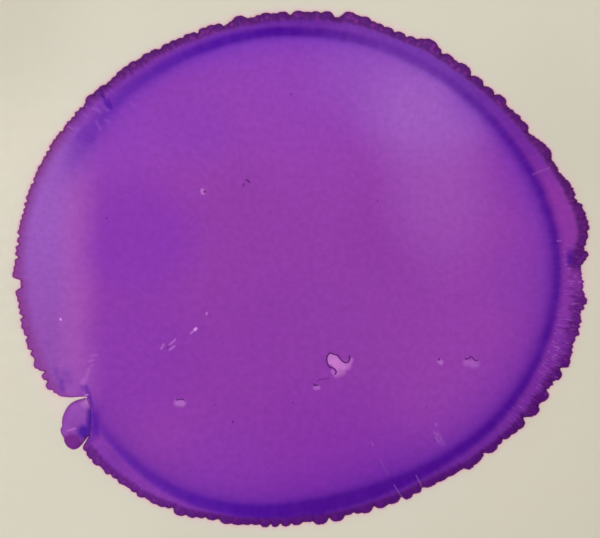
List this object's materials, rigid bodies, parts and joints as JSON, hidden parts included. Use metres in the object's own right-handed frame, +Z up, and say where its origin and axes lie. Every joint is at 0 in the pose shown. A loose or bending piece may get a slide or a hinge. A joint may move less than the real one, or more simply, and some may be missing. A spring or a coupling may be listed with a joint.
{
  "type": "hair color bowl",
  "caption": "Wide shallow salon tint bowl with tab handle, non-slip base pad and a thin violet pool of hair colour lying on its flat floor.",
  "frame": {"origin": "on the bowl's axis, on the underside of the non-slip pad, the face that the bowl stands on", "axes": "+Z up along the bowl's axis, +X along the handle away from the bowl, +Y to the left of the handle"},
  "size_m": [0.1919, 0.1498, 0.046],
  "materials": {
    "ivory_polypropylene": "satin moulded polypropylene, cream",
    "pad_rubber": "matt thermoplastic rubber, near black",
    "violet_colour": "setting hair colour, violet with a blue-violet band inside its edge",
    "lavender_colour": "thinner setting hair colour, lavender with a plum edge"
  },
  "bodies": {
    "root": {"bowl_shell": "ivory_polypropylene", "base_pad": "pad_rubber", "colour_film": "violet_colour", "colour_flap": "lavender_colour"}
  },
  "joints": []
}
